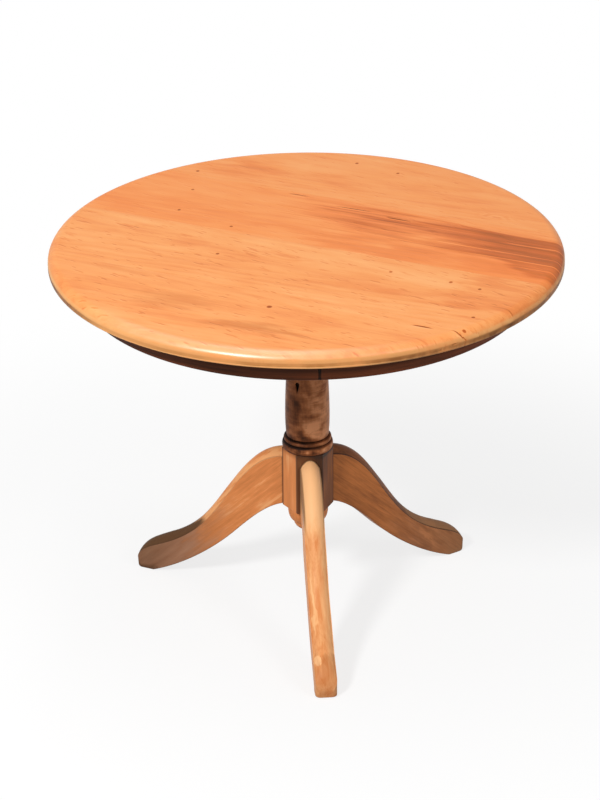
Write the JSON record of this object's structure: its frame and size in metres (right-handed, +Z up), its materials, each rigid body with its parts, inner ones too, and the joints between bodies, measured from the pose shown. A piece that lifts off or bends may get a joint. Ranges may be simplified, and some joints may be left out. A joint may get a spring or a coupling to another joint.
{
  "type": "round pedestal dining table",
  "caption": "Round boarded pine dining table: rounded edge, apron ring, turned column, hexagonal leg block and crowned sabre legs on a tripod base.",
  "frame": {"origin": "on the floor, on the axis of the column, under the centre of the round top", "axes": "+Z up along the column; +X to the right and +Y away from the viewer in the picture"},
  "size_m": [0.94, 0.94, 0.745],
  "materials": {
    "pine_top": "waxed honey pine, satin sheen",
    "dark_pine": "dark stained pine, dull wax",
    "column_pine": "dark patinated pine, satin",
    "leg_pine": "waxed orange pine, satin",
    "raw_pine": "unfinished aged pine",
    "beech": "plain beech",
    "steel": "dull steel"
  },
  "bodies": {
    "root": {"top_board_1": "pine_top", "top_board_2": "pine_top", "top_board_3": "pine_top", "top_board_4": "pine_top", "apron_segment_1": "dark_pine", "apron_segment_2": "dark_pine", "apron_segment_3": "dark_pine", "apron_segment_4": "dark_pine", "apron_segment_5": "dark_pine", "apron_segment_6": "dark_pine", "apron_glue_block_1": "raw_pine", "apron_glue_block_2": "raw_pine", "apron_glue_block_3": "raw_pine", "apron_glue_block_4": "raw_pine", "apron_glue_block_5": "raw_pine", "apron_glue_block_6": "raw_pine", "left_bearer": "raw_pine", "right_bearer": "raw_pine", "bearer_screw_1": "steel", "bearer_screw_2": "steel", "bearer_screw_3": "steel", "bearer_screw_4": "steel", "bearer_screw_5": "steel", "bearer_screw_6": "steel", "bearer_screw_7": "steel", "bearer_screw_8": "steel", "top_block": "raw_pine", "top_block_screw_1": "steel", "top_block_screw_2": "steel", "top_block_screw_3": "steel", "top_block_screw_4": "steel", "column": "column_pine", "tenon_wedge": "beech", "leg_block": "leg_pine", "turned_drop": "leg_pine", "front_leg": "leg_pine", "right_leg": "leg_pine", "left_leg": "leg_pine", "front_leg_lower_dowel": "beech", "front_leg_upper_dowel": "beech", "right_leg_lower_dowel": "beech", "right_leg_upper_dowel": "beech", "left_leg_lower_dowel": "beech", "left_leg_upper_dowel": "beech"}
  },
  "joints": []
}
